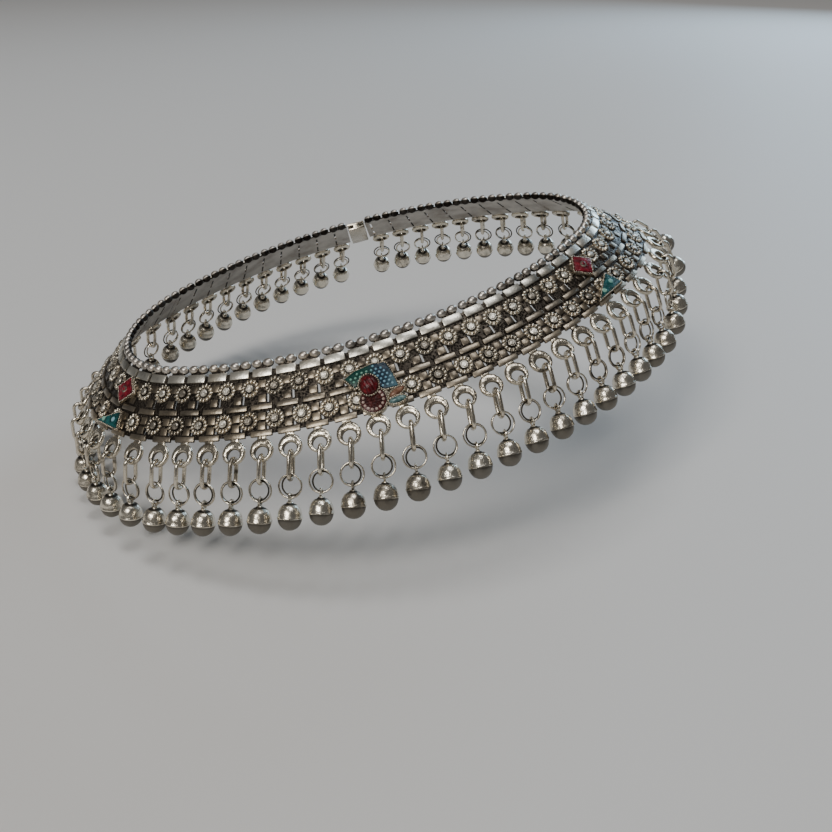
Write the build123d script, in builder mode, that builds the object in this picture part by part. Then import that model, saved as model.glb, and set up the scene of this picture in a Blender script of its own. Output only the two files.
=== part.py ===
from build123d import *
import os
from math import atan2, cos, exp, pi, radians, sin, sqrt

# A payal anklet: a flared silver band of sixty columns, worn round an ankle, with a row of
# eyelets along its lower edge and a link, a jump ring and a small bell hanging from each.
# Millimetres. +Z is up the leg, +X towards the toes, and the clasp is behind, on +Y.
# The origin is the middle of the band's upper rail.

# ---- driving dimensions ----
half_length = 50.0          # heel to toe, half, at the upper rail
heel_radius = 25.5          # plan of the upper rail: two end arcs and two long side arcs
toe_radius = 21.0
side_radius = 66.0
tilt = radians(13.4)        # the rail runs down towards the heel
flare = radians(53.4)       # slope of the band, measured from the loop's own axis
drop_lean = radians(32.4)   # the fringe leans outwards at the sides, where it lies on the foot
toe_lean = radians(18)      # and hangs straighter towards both ends
heel_lean = radians(2)
instep_lift = radians(34)   # over the instep the drops lie higher, on the foot
instep_angle = radians(104)
instep_width = radians(20)
columns = 60
clasp_column = 30           # this column is the clasp, so it has no drop
first_column_offset = -4.15

# ---- the band, as distances down its slope from the upper rail ----
web_thickness = 0.3
web_top = 0.5               # above the upper rail's middle
panel_blank = 8.0           # each panel's width before it is mitred
backing = 0.1               # how far necks reach behind the web's middle
ball_neck_rise = 0.25
bar_length = 3.95
upper_bar_height = 1.6
thin_bar_height = 1.0
bar_rise = 0.5
middle_rail_slope = 6.5
lower_rail_slope = 11.4
ball_radius = 0.95
ball_spacing = 2.05
ball_height = 2.0           # above the upper rail's middle
ball_neck = (2.75, 1.9)     # the neck that both balls of a column stand on
rosette_radius = 1.9
rosette_rise = 0.45
rosette_seat = 0.05         # its underside is within the web, which bends at each rosette
rosette_table_radius = 0.85  # the flat, bright middle
rosette_table_rise = 0.35
upper_rosette_slope = 2.85
lower_rosette_slope = 8.95
tab_width = 1.4
tab_rise = 0.35
tab_slopes = (2.1, 4.9, 8.2, 10.0)
slit_width = 0.4
slit_offset = 1.05          # each slit lies just beside its tabs
upper_slit_slope = 3.55
upper_slit_height = 4.2
lower_slit_height = 3.4

# ---- the eyelets and the fringe ----
eyelet_radius = 2.15
eyelet_hole_radius = 1.15
eyelet_hole_drop = 0.55     # the hole lies below the middle, so the rim is thin there
eyelet_thickness = 0.9
eyelet_slope = 14.3
eyelet_neck = (1.5, 1.4)
link_wire = 0.34            # wire radii
link_end_radius = 1.2
link_length = 4.85          # between the middles of the two end bends
ring_wire = 0.3
ring_radius = 1.85
loop_wire = 0.22
loop_radius = 0.68
link_top = 0.98             # height of its upper bend over the middle of the eyelet's rim
bell_radius = 2.1
bell_seam = 0.15            # half height of the seam round the bell's middle
bell_seam_rise = 0.08
bell_foot_radius = 0.25     # the small flat under the bell
bell_shoulder = [(0.55, 2.7), (0.95, 2.35), (1.5, 1.9)]    # cap and shoulder, over the middle
bell_cheek = (1.95, 1.15)
play = 0.1                  # clear distance between pieces that hang in each other

# ---- the clasp ----
clasp_half_width = 2.0
clasp_half_depth = 0.85
clasp_height = 10.8
clasp_wall = 1.2            # the wall in the middle, which both tongues stop short of
tongue_play = 0.15

# ---- enamel pieces ----
setting_top = 0.9           # top of the silver plates that carry the enamel
enamel_gap = 0.1
enamel_thickness = 0.3
enamel_base = setting_top + enamel_gap
seat_top = enamel_base + enamel_thickness   # the raised seat of each cabochon
cabochon_height = 1.0
main_stations = (0, 20, -20)
side_stations = (10.5, -10.5)

os.makedirs("parts", exist_ok=True)


# ---- the plan curve ----
heel_centre = -half_length + heel_radius
toe_centre = half_length - toe_radius
centres_apart = toe_centre - heel_centre
heel_reach = side_radius - heel_radius
toe_reach = side_radius - toe_radius
from_heel = (heel_reach**2 - toe_reach**2 + centres_apart**2) / (2 * centres_apart)
side_centre_x = heel_centre + from_heel
side_centre_y = sqrt(heel_reach**2 - from_heel**2)
heel_turn = atan2(side_centre_x - heel_centre, side_centre_y)   # where the arcs meet
toe_turn = atan2(toe_centre - side_centre_x, side_centre_y)
heel_half = 2 * side_radius * heel_turn + heel_radius * (pi - 2 * heel_turn)
toe_half = 2 * side_radius * toe_turn + toe_radius * (pi - 2 * toe_turn)
perimeter = heel_half + toe_half
pitch = perimeter / columns


def normal_angle(distance):
    """Angle of the outward normal at a distance along the rail: 0 faces -Y, positive to +X."""
    distance = (distance + heel_half) % perimeter - heel_half
    end_radius, turn, side = (toe_radius, toe_turn, 1) if distance > 0 else (heel_radius, heel_turn, -1)
    run = abs(distance)
    side_run = side_radius * turn
    end_run = end_radius * (pi - 2 * turn)
    if run <= side_run:
        return side * run / side_radius
    if run <= side_run + end_run:
        return side * (turn + (run - side_run) / end_radius)
    return side * (pi - turn + (run - side_run - end_run) / side_radius)


def arc_at(angle):
    """Centre and radius of the arc that a normal angle belongs to."""
    end_turn = toe_turn if angle > 0 else heel_turn
    if end_turn < abs(angle) < pi - end_turn:
        return (toe_centre, 0, toe_radius) if angle > 0 else (heel_centre, 0, heel_radius)
    return (side_centre_x, side_centre_y if abs(angle) < pi / 2 else -side_centre_y, side_radius)


def tilted(x, y, z):
    """A point or direction of the level loop, turned to the slope at which it is worn."""
    return Vector(x * cos(tilt) - z * sin(tilt), y, x * sin(tilt) + z * cos(tilt))


def band_plane(column, slope=0.0, lift=0.0):
    """Plane on the band: X along the rail, Y up its slope, Z out of its face."""
    angle = normal_angle(column * pitch + first_column_offset)
    x, y, radius = arc_at(angle)
    reach = radius + slope * sin(flare)
    origin = tilted(x + reach * sin(angle), y - reach * cos(angle), -slope * cos(flare))
    face = tilted(sin(angle) * cos(flare), -cos(angle) * cos(flare), sin(flare))
    along = tilted(cos(angle), sin(angle), 0)
    return Plane(origin=origin + face * lift, x_dir=along, z_dir=face)


rim_slope = eyelet_slope + (eyelet_hole_drop + eyelet_hole_radius + eyelet_radius) / 2


def drop_plane(column):
    """Plane of one drop, at the eyelet's lower rim: X along the rail, Z back up the drop."""
    angle = normal_angle(column * pitch + first_column_offset)
    outward = tilted(sin(angle), -cos(angle), 0)
    along = tilted(cos(angle), sin(angle), 0)
    end_lean = toe_lean if angle > 0 else heel_lean
    lean = end_lean + (drop_lean - end_lean) * cos(angle)**4
    lean += instep_lift * exp(-((angle - instep_angle) / instep_width)**2)
    down = (Vector(0, 0, -cos(lean)) + outward * sin(lean)).normalized()
    level = (along - down * along.dot(down)).normalized()
    return Plane(origin=band_plane(column, rim_slope).origin, x_dir=level, z_dir=-down)


drop_columns = [n for n in range(-clasp_column + 1, clasp_column)]
joint_columns = [n + 0.5 for n in drop_columns[:-1]]
drop_places = [drop_plane(n).location for n in drop_columns]


# ---- one column's relief: bars, ball heads, tabs and the eyelet ----
with BuildPart() as bar_block:
    with BuildSketch():
        Rectangle(bar_length, upper_bar_height)
    extrude(amount=bar_rise)
    chamfer(bar_block.faces().sort_by(Axis.Z)[-1].edges(), length=0.15)

with BuildPart() as thin_block:
    with BuildSketch():
        Rectangle(bar_length, thin_bar_height)
    extrude(amount=bar_rise)

with BuildPart() as ball_heads:
    with BuildSketch(Plane.XY.offset(-backing)):
        with Locations((0, (ball_height + upper_bar_height / 2) / 2)):
            Rectangle(*ball_neck)
    extrude(amount=backing + ball_neck_rise)
    with Locations((-ball_spacing / 2, ball_height, 0), (ball_spacing / 2, ball_height, 0)):
        Sphere(ball_radius)

with BuildPart() as tab_block:
    Box(tab_width, tab_width, tab_rise, align=(Align.CENTER, Align.CENTER, Align.MIN))

with BuildPart() as eyelet:
    with BuildSketch(Plane.XY.offset(-eyelet_thickness / 2)):
        Circle(eyelet_radius)
    extrude(amount=eyelet_thickness)
    fillet(eyelet.edges(), radius=0.4)
    with Locations((0, -eyelet_hole_drop, 0)):
        Hole(eyelet_hole_radius)
    with BuildSketch(Plane.XY.offset(-backing)):
        with Locations((0, eyelet_radius + 0.2)):
            Rectangle(*eyelet_neck)
    extrude(amount=backing + ball_neck_rise)

with BuildPart() as rosette:
    with BuildSketch(Plane.XY.offset(rosette_seat)):
        Circle(rosette_radius)
    extrude(amount=rosette_rise - rosette_seat)
    with Locations((0, 0, rosette_rise)):
        Cone(rosette_table_radius + 0.3, rosette_table_radius, rosette_table_rise,
             align=(Align.CENTER, Align.CENTER, Align.MIN))

with BuildPart() as column_relief:
    add(bar_block.part)
    add(ball_heads.part)
    with Locations((0, -middle_rail_slope, 0), (0, -lower_rail_slope, 0)):
        add(thin_block.part)
    with Locations(*[(0, -slope, 0) for slope in tab_slopes]):
        add(tab_block.part)
    with Locations((0, -eyelet_slope, 0)):
        add(eyelet.part)

# ---- silver plates under the enamel, in the plane of their column ----
fan_corners = [(-3.5, -4.9), (-1.6, -4.0), (1.6, -3.5), (3.9, -3.8), (4.6, -6.2),
               (5.0, -8.6), (2.6, -8.5), (0.0, -6.2), (-2.2, -6.9)]
cabochon_place = (0.25, -7.2)
cabochon_size = (1.6, 1.85)          # half width and half height
disc_place = (0.3, -10.0)
disc_radius = 2.2
orange_leaf_place = (4.5, -9.6)
orange_leaf_turn = 22
teal_leaf_place = (4.3, -11.0)
teal_leaf_turn = 4
leaf_size = (1.5, 0.55)
rhombus_corners = [(-2.6, -3.6), (0, -1.2), (2.6, -3.6), (0, -6.0)]
petal_corners = [(-4.1, -10.9), (2.0, -7.8), (3.1, -10.8)]
rim_margin = 0.3


with BuildPart() as main_plates:
    with BuildSketch():
        with BuildLine():
            Polyline(*fan_corners, close=True)
        make_face()
        offset(amount=rim_margin, kind=Kind.ARC)
        with Locations(disc_place):
            Circle(disc_radius + rim_margin)
        with Locations(Location((*orange_leaf_place, 0), orange_leaf_turn)):
            Ellipse(leaf_size[0] + rim_margin, leaf_size[1] + rim_margin)
        with Locations(Location((*teal_leaf_place, 0), teal_leaf_turn)):
            Ellipse(leaf_size[0] + rim_margin, leaf_size[1] + rim_margin)
    extrude(amount=setting_top)
    with BuildSketch():
        with Locations(cabochon_place):
            Ellipse(cabochon_size[0] + 0.1, cabochon_size[1] + 0.1)
    extrude(amount=seat_top)

with BuildPart() as side_plates:
    with BuildSketch():
        with BuildLine():
            Polyline(*rhombus_corners, close=True)
        make_face()
        with BuildLine():
            Polyline(*petal_corners, close=True)
        make_face()
        offset(amount=rim_margin, kind=Kind.ARC)
    extrude(amount=setting_top)

# ---- the band ----
tongue_inner = clasp_wall / 2 + tongue_play
tongue_outer = pitch / 2 + 0.5
tongue_middle = (tongue_inner + tongue_outer) / 2

with BuildPart() as end_tongues:
    with Locations((-tongue_middle, -lower_rail_slope / 2, 0), (tongue_middle, -lower_rail_slope / 2, 0)):
        Box(tongue_outer - tongue_inner, clasp_height - 0.4, web_thickness)


def web_panel(column):
    """One column's panel of the web, pierced by two slits and mitred to its neighbours."""
    with BuildPart() as panel:
        with BuildSketch(band_plane(column, lift=-web_thickness / 2)):
            with Locations((0, (web_top - lower_rail_slope) / 2)):
                Rectangle(panel_blank, web_top + lower_rail_slope)
            with Locations((slit_offset, -upper_slit_slope)):
                Rectangle(slit_width, upper_slit_height, mode=Mode.SUBTRACT)
            with Locations((slit_offset, -lower_rosette_slope)):
                Rectangle(slit_width, lower_slit_height, mode=Mode.SUBTRACT)
        extrude(amount=web_thickness)
        for side in (-1, 1):
            joint = band_plane(column + side / 2)
            split(bisect_by=Plane(origin=joint.origin, z_dir=joint.x_dir * -side))
    return panel.part


web_panels = [web_panel(n) for n in drop_columns]

with BuildPart() as band:
    add(web_panels, clean=False)
    with Locations(*[band_plane(n).location for n in drop_columns]):
        add(column_relief.part, clean=False)
    with Locations(*[band_plane(n, slope).location for n in joint_columns
                     for slope in (upper_rosette_slope, lower_rosette_slope)]):
        add(rosette.part, clean=False)
    with Locations(*[band_plane(n).location for n in main_stations]):
        add(main_plates.part, clean=False)
    with Locations(band_plane(side_stations[0]).location, band_plane(side_stations[1]).location):
        add(side_plates.part, clean=False)
    with Locations(band_plane(clasp_column).location):
        add(end_tongues.part, clean=False)
band.part.label = "band"
export_step(band.part, "parts/band.step", write_pcurves=False)
print("band", len(band.part.solids()), band.part.volume, band.part.is_valid)

# ---- the clasp: a plain box clasp that both ends of the band slide into ----
with BuildPart(band_plane(clasp_column)) as clasp:
    with BuildSketch(band_plane(clasp_column)) as clasp_face:
        with Locations((0, -lower_rail_slope / 2)):
            Rectangle(2 * clasp_half_width, clasp_height)
    extrude(amount=clasp_half_depth, both=True)
    with BuildSketch(band_plane(clasp_column)):
        with Locations((clasp_half_width, -lower_rail_slope / 2), (-clasp_half_width, -lower_rail_slope / 2)):
            Rectangle(2 * (clasp_half_width - clasp_wall / 2), clasp_height)
    extrude(amount=web_thickness / 2 + tongue_play, both=True, mode=Mode.SUBTRACT)
clasp.part.label = "clasp"
export_step(clasp.part, "parts/clasp.step")


# ---- the fringe, each piece in the plane of its drop ----
link_bottom = link_top - link_length
upper_bend = link_top - link_end_radius
lower_bend = link_bottom + link_end_radius
ring_top = link_bottom + link_wire + play + ring_wire
ring_bottom = ring_top - 2 * ring_radius
loop_centre = ring_bottom + ring_wire + play + loop_wire - loop_radius
bell_centre = loop_centre - loop_radius - bell_shoulder[0][1]

with BuildPart() as link:
    with BuildLine(Plane.YZ) as link_path:
        Line((-link_end_radius, lower_bend), (-link_end_radius, upper_bend))
        ThreePointArc((-link_end_radius, upper_bend), (0, link_top), (link_end_radius, upper_bend))
        Line((link_end_radius, upper_bend), (link_end_radius, lower_bend))
        ThreePointArc((link_end_radius, lower_bend), (0, link_bottom), (-link_end_radius, lower_bend))
    with BuildSketch(Plane.XY.offset(lower_bend)):
        with Locations((0, -link_end_radius)):
            Circle(link_wire)
    sweep(path=link_path.wire())

with BuildPart() as jump_ring:
    with Locations(Location((0, 0, ring_top - ring_radius), (90, 0, 0))):
        Torus(ring_radius, ring_wire)

bell_outline = [(radius, bell_centre + height) for radius, height in bell_shoulder]
seam_top = bell_centre + bell_seam
seam_bottom = bell_centre - bell_seam
bowl_radius = bell_radius - bell_seam_rise / 2

with BuildPart() as bell:
    with BuildSketch(Plane.XZ):
        with BuildLine():
            Polyline((0, bell_outline[0][1]), *bell_outline)
            ThreePointArc(bell_outline[-1], (bell_cheek[0], bell_centre + bell_cheek[1]),
                          (bell_radius, seam_top))
            Polyline((bell_radius, seam_top), (bell_radius + bell_seam_rise, seam_top - bell_seam_rise),
                     (bell_radius + bell_seam_rise, seam_bottom + bell_seam_rise), (bowl_radius, seam_bottom))
            ThreePointArc((bowl_radius, seam_bottom),
                          (bowl_radius * cos(pi / 4), seam_bottom - bowl_radius * sin(pi / 4)),
                          (bell_foot_radius, seam_bottom - bowl_radius))
            Polyline((bell_foot_radius, seam_bottom - bowl_radius), (0, seam_bottom - bowl_radius),
                     (0, bell_outline[0][1]))
        make_face()
    revolve(axis=Axis.Z)
    with Locations(Location((0, 0, loop_centre), (0, 90, 0))):
        Torus(loop_radius, loop_wire)

for name, piece in (("links", link), ("jump_rings", jump_ring), ("bells", bell)):
    with BuildPart() as hung_row:
        with Locations(*drop_places):
            add(piece.part)
    hung_row.part.label = name
    export_step(hung_row.part, f"parts/{name}.step", write_pcurves=False)
    print(name, len(hung_row.part.solids()), hung_row.part.volume)


# ---- enamel ----
def seat_clearance():
    """The round the cabochon's raised seat that flat enamel leaves free."""
    with Locations(cabochon_place):
        Ellipse(cabochon_size[0] + 0.25, cabochon_size[1] + 0.25, mode=Mode.SUBTRACT)


with BuildPart() as fan_enamel:
    with BuildSketch(Plane.XY.offset(enamel_base)):
        with BuildLine():
            Polyline(*fan_corners, close=True)
        make_face()
        seat_clearance()
    extrude(amount=enamel_thickness)

with BuildPart() as disc_enamel:
    with BuildSketch(Plane.XY.offset(enamel_base)):
        with Locations(disc_place):
            Circle(disc_radius)
        seat_clearance()
    extrude(amount=enamel_thickness)

with BuildPart() as red_cabochon:
    with BuildSketch(Plane.XY.offset(seat_top + enamel_gap)):
        with Locations(cabochon_place):
            Ellipse(*cabochon_size)
    extrude(amount=cabochon_height)
    fillet(red_cabochon.faces().sort_by(Axis.Z)[-1].edges(), radius=cabochon_height * 0.7)

with BuildPart() as orange_leaf:
    with BuildSketch(Plane.XY.offset(enamel_base)):
        with Locations(Location((*orange_leaf_place, 0), orange_leaf_turn)):
            Ellipse(*leaf_size)
    extrude(amount=enamel_thickness)

with BuildPart() as teal_leaf:
    with BuildSketch(Plane.XY.offset(enamel_base)):
        with Locations(Location((*teal_leaf_place, 0), teal_leaf_turn)):
            Ellipse(*leaf_size)
    extrude(amount=enamel_thickness)

with BuildPart() as crimson_rhombus:
    with BuildSketch(Plane.XY.offset(enamel_base)):
        with BuildLine():
            Polyline(*rhombus_corners, close=True)
        make_face()
    extrude(amount=enamel_thickness)

with BuildPart() as teal_petal:
    with BuildSketch(Plane.XY.offset(enamel_base)):
        with BuildLine():
            Polyline(*petal_corners, close=True)
        make_face()
    extrude(amount=enamel_thickness)

main_enamel = {"fan": fan_enamel, "red_disc": disc_enamel, "red_cabochon": red_cabochon,
               "orange_leaf": orange_leaf, "teal_leaf": teal_leaf}
side_enamel = {"crimson_rhombus": crimson_rhombus, "teal_petal": teal_petal}
station_names = {0: "front", 20: "toe_back", -20: "heel_back", 10.5: "toe", -10.5: "heel"}

for pieces, stations in ((main_enamel, main_stations), (side_enamel, side_stations)):
    for station in stations:
        for name, piece in pieces.items():
            placed = piece.part.moved(band_plane(station).location)
            placed.label = f"{name}_{station_names[station]}"
            export_step(placed, f"parts/{placed.label}.step")
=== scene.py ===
import math
import random

import bmesh
import bpy
from mathutils import Matrix, Vector


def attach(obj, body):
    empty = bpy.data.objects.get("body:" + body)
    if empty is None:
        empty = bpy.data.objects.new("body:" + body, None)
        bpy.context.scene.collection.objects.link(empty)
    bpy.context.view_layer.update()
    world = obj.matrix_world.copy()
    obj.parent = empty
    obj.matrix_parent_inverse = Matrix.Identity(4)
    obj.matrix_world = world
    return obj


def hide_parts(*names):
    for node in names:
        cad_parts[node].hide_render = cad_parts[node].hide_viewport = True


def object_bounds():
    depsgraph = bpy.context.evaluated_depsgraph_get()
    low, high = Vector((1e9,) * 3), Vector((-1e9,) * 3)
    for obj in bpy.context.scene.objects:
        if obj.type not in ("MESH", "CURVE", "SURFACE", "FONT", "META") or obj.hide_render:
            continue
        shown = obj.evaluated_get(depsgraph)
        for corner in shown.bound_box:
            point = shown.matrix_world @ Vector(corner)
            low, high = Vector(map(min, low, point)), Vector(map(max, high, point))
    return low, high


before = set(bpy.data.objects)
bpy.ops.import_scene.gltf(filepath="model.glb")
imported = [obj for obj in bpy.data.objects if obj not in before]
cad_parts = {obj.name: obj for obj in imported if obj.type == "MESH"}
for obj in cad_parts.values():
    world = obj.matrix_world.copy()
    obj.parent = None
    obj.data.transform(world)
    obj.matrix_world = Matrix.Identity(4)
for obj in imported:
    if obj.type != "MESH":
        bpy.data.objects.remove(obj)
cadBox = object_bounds()
dice = random.Random(11)
mm = 0.001
print("frame loaded,", len(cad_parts), "nodes")

# the loop that the anklet is built on, as the solids have it, in millimetres
loop = {
    "halfLength": 50.0,                 # heel to toe along the upper rail
    "heelRadius": 25.5,
    "toeRadius": 21.0,
    "sideRadius": 66.0,
    "tilt": math.radians(13.4),         # the rail runs down towards the heel
    "flare": math.radians(53.4),        # slope of the band, from the loop's own axis
    "dropLean": math.radians(32.4),     # the fringe leans outwards at the sides
    "toeLean": math.radians(18),        # and hangs straighter towards both ends
    "heelLean": math.radians(2),
    "instepLift": math.radians(34),     # over the instep the drops lie higher, on the foot
    "instepAngle": math.radians(104),
    "instepWidth": math.radians(20),
    "columns": 60,
    "claspColumn": 30,
    "firstColumn": -4.15,
}

heelCentre = loop["heelRadius"] - loop["halfLength"]
toeCentre = loop["halfLength"] - loop["toeRadius"]
heelReach = loop["sideRadius"] - loop["heelRadius"]
toeReach = loop["sideRadius"] - loop["toeRadius"]
apart = toeCentre - heelCentre
fromHeel = (heelReach**2 - toeReach**2 + apart**2) / (2 * apart)
sideCentre = (heelCentre + fromHeel, math.sqrt(heelReach**2 - fromHeel**2))
heelTurn = math.atan2(fromHeel, sideCentre[1])
toeTurn = math.atan2(toeCentre - sideCentre[0], sideCentre[1])
heelHalf = 2 * loop["sideRadius"] * heelTurn + loop["heelRadius"] * (math.pi - 2 * heelTurn)
toeHalf = 2 * loop["sideRadius"] * toeTurn + loop["toeRadius"] * (math.pi - 2 * toeTurn)
perimeter = heelHalf + toeHalf
pitch = perimeter / loop["columns"]


def normalAngle(distance):
    # angle of the outward normal at a distance along the rail: 0 is the front, positive to the toes
    distance = (distance + heelHalf) % perimeter - heelHalf
    towardsToe = distance > 0
    endRadius = loop["toeRadius"] if towardsToe else loop["heelRadius"]
    turn = toeTurn if towardsToe else heelTurn
    side = 1 if towardsToe else -1
    run = abs(distance)
    sideRun = loop["sideRadius"] * turn
    endRun = endRadius * (math.pi - 2 * turn)
    if run <= sideRun:
        return side * run / loop["sideRadius"]
    if run <= sideRun + endRun:
        return side * (turn + (run - sideRun) / endRadius)
    return side * (math.pi - turn + (run - sideRun - endRun) / loop["sideRadius"])


def arcAt(angle):
    endTurn = toeTurn if angle > 0 else heelTurn
    if endTurn < abs(angle) < math.pi - endTurn:
        return (toeCentre, 0, loop["toeRadius"]) if angle > 0 else (heelCentre, 0, loop["heelRadius"])
    return (sideCentre[0], sideCentre[1] if abs(angle) < math.pi / 2 else -sideCentre[1], loop["sideRadius"])


def tilted(x, y, z):
    c, s = math.cos(loop["tilt"]), math.sin(loop["tilt"])
    return Vector((x * c - z * s, y, x * s + z * c))


def placing(origin, along, up, face):
    # turns a piece modelled in millimetres into its place in the frame, in metres
    turned = Matrix((along, up, face)).transposed().to_4x4()
    return Matrix.Translation(origin * mm) @ turned @ Matrix.Scale(mm, 4)


def onBand(column, slope=0.0):
    # X along the rail, Y up the band's slope, Z out of its face
    angle = normalAngle(column * pitch + loop["firstColumn"])
    x, y, radius = arcAt(angle)
    sine, cosine = math.sin(loop["flare"]), math.cos(loop["flare"])
    reach = radius + slope * sine
    origin = tilted(x + reach * math.sin(angle), y - reach * math.cos(angle), -slope * cosine)
    face = tilted(math.sin(angle) * cosine, -math.cos(angle) * cosine, sine)
    along = tilted(math.cos(angle), math.sin(angle), 0)
    return placing(origin, along, face.cross(along), face)


def onDrop(column):
    # the origin is the eyelet's lower rim, Z runs back up the drop and Y inwards
    angle = normalAngle(column * pitch + loop["firstColumn"])
    outward = tilted(math.sin(angle), -math.cos(angle), 0)
    along = tilted(math.cos(angle), math.sin(angle), 0)
    endLean = loop["toeLean"] if angle > 0 else loop["heelLean"]
    lean = endLean + (loop["dropLean"] - endLean) * math.cos(angle)**4
    lean += loop["instepLift"] * math.exp(-((angle - loop["instepAngle"]) / loop["instepWidth"])**2)
    down = (Vector((0, 0, -math.cos(lean))) + outward * math.sin(lean)).normalized()
    level = (along - down * along.dot(down)).normalized()
    rim = eyelets["slope"] + (eyelets["holeDrop"] + eyelets["holeRadius"] + eyelets["radius"]) / 2
    origin = onBand(column, rim).translation / mm
    return placing(origin, level, (-down).cross(level), -down)


columns = list(range(1 - loop["claspColumn"], loop["claspColumn"]))
joints = [n + 0.5 for n in columns[:-1]]


# shader maths written as expressions
class Number:
    def __init__(self, finish, socket):
        self.finish = finish
        self.socket = socket

    def __add__(self, other):
        return self.finish.maths("ADD", self, other)

    def __radd__(self, other):
        return self.finish.maths("ADD", other, self)

    def __sub__(self, other):
        return self.finish.maths("SUBTRACT", self, other)

    def __rsub__(self, other):
        return self.finish.maths("SUBTRACT", other, self)

    def __mul__(self, other):
        return self.finish.maths("MULTIPLY", self, other)

    def __rmul__(self, other):
        return self.finish.maths("MULTIPLY", other, self)

    def __truediv__(self, other):
        return self.finish.maths("DIVIDE", self, other)

    def __gt__(self, other):
        return self.finish.maths("GREATER_THAN", self, other)


class Finish:
    def __init__(self, name):
        self.material = bpy.data.materials.new(name)
        self.material.use_nodes = True
        self.tree = self.material.node_tree
        self.surface = self.tree.nodes["Principled BSDF"]
        self.point = self.node("ShaderNodeTexCoord", output="Object")

    def node(self, kind, settings=None, inputs=None, output=0):
        made = self.tree.nodes.new(kind)
        for key, value in (settings or {}).items():
            if key == "stops":
                self.rampStops(made.color_ramp, value)
            else:
                setattr(made, key, value)
        for key, value in (inputs or {}).items():
            self.feed(made.inputs[key], value)
        return Number(self, made.outputs[output])

    def rampStops(self, ramp, stops):
        while len(ramp.elements) < len(stops):
            ramp.elements.new(1.0)
        for element, (position, colour) in zip(ramp.elements, stops):
            element.position = position
            element.color = colour

    def feed(self, socket, value):
        if isinstance(value, Number):
            self.tree.links.new(value.socket, socket)
        else:
            socket.default_value = value

    def maths(self, operation, *values):
        return self.node("ShaderNodeMath", {"operation": operation}, dict(enumerate(values)))

    def noise(self, size, detail=2.0, roughness=0.5, point=None):
        # size is the width of a patch in millimetres
        inputs = {"Vector": point or self.point, "Scale": 1 / (size * mm), "Detail": detail, "Roughness": roughness}
        return self.node("ShaderNodeTexNoise", {}, inputs, "Fac")

    def cells(self, size):
        return self.node("ShaderNodeTexVoronoi", {}, {"Vector": self.point, "Scale": 1 / (size * mm)}, "Distance")

    def ease(self, value, low, high):
        inputs = {"Value": value, "From Min": low, "From Max": high}
        return self.node("ShaderNodeMapRange", {"interpolation_type": "SMOOTHSTEP"}, inputs, "Result")

    def blend(self, factor, first, second):
        # inputs 0, 6 and 7 are a colour mix's factor and its two colours, output 2 its result
        return self.node("ShaderNodeMix", {"data_type": "RGBA"}, {0: factor, 6: first, 7: second}, 2)

    def named(self, attribute):
        return self.node("ShaderNodeAttribute", {"attribute_name": attribute}, output="Fac")

    def bump(self, height, depth):
        # depth in millimetres
        return self.node("ShaderNodeBump", {}, {"Height": height, "Distance": depth * mm}, "Normal")

    def parts(self, vector):
        split = self.node("ShaderNodeSeparateXYZ", {}, {"Vector": vector}).socket.node
        return [Number(self, split.outputs[axis]) for axis in "XYZ"]

    def bandHeight(self):
        # height over the band's face and distance down its slope, in millimetres
        x, y, z = [axis / mm for axis in self.parts(self.point)]
        along = x * math.cos(loop["tilt"]) + z * math.sin(loop["tilt"])
        level = z * math.cos(loop["tilt"]) - x * math.sin(loop["tilt"])
        side = self.maths("ABSOLUTE", y)

        def excess(across, offset, radius):
            return self.maths("SQRT", across * across + offset * offset) - radius

        sideExcess = excess(along - sideCentre[0], side + sideCentre[1], loop["sideRadius"])
        toeExcess = excess(along - toeCentre, side, loop["toeRadius"])
        heelExcess = excess(along - heelCentre, side, loop["heelRadius"])
        atToe = (along - toeCentre) * math.cos(toeTurn) > side * math.sin(toeTurn)
        atHeel = (heelCentre - along) * math.cos(heelTurn) > side * math.sin(heelTurn)
        over = sideExcess + atToe * (toeExcess - sideExcess) + atHeel * (heelExcess - sideExcess)
        sine, cosine = math.sin(loop["flare"]), math.cos(loop["flare"])
        return over * cosine + level * sine, over * sine - level * cosine

    def settle(self, **inputs):
        for name, value in inputs.items():
            self.feed(self.surface.inputs[socketNames[name]], value)
        return self.material


socketNames = {
    "colour": "Base Color", "metallic": "Metallic", "roughness": "Roughness", "normal": "Normal",
    "coat": "Coat Weight", "coatRoughness": "Coat Roughness", "specular": "Specular IOR Level",
}


# finishes; the dark colour is both the patina and the painted shade; recess says how far the patina and painted
# shade reach, dark how far the patina reaches, dent how deep the hammering is
silverLook = {"warm": (0.66, 0.55, 0.40, 1), "patinaAndShade": (0.022, 0.018, 0.015, 1)}


def bandSilver(name, smooth, rough, recessTop, bright):
    # polished silver, dark in its recesses: partly patina, partly painted shade
    made = Finish(name)
    lift, slope = made.bandHeight()
    cloud = made.noise(2.2, 4, 0.6)
    # low places on each piece and the shade attribute are darkened: patina and painted shade together
    low = 1 - made.ease(lift + (cloud - 0.5) * 0.25, 0.02, recessTop)
    recess = made.maths("MAXIMUM", low, made.named("shade"))
    wear = made.ease(made.noise(7.0, 3), 0.42, 0.72)
    metal = made.blend(wear * 0.45 + made.ease(slope, 5.0, 15.0) * 0.25, bright, silverLook["warm"])
    patches = made.ease(cloud + (made.named("tone") - 0.5) * 0.35, 0.46, 0.80)
    colour = made.blend(made.maths("MINIMUM", recess * 0.95 + patches * 0.5, 1.0), metal, silverLook["patinaAndShade"])
    scratches = made.noise(0.4, 3, 0.7)
    roughness = smooth + (rough - smooth) * scratches + recess * 0.25
    dents = made.noise(0.9, 2) * 0.7 + scratches * 0.3
    return made.settle(colour=colour, metallic=1.0, roughness=roughness, normal=made.bump(dents, 0.07))


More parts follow.
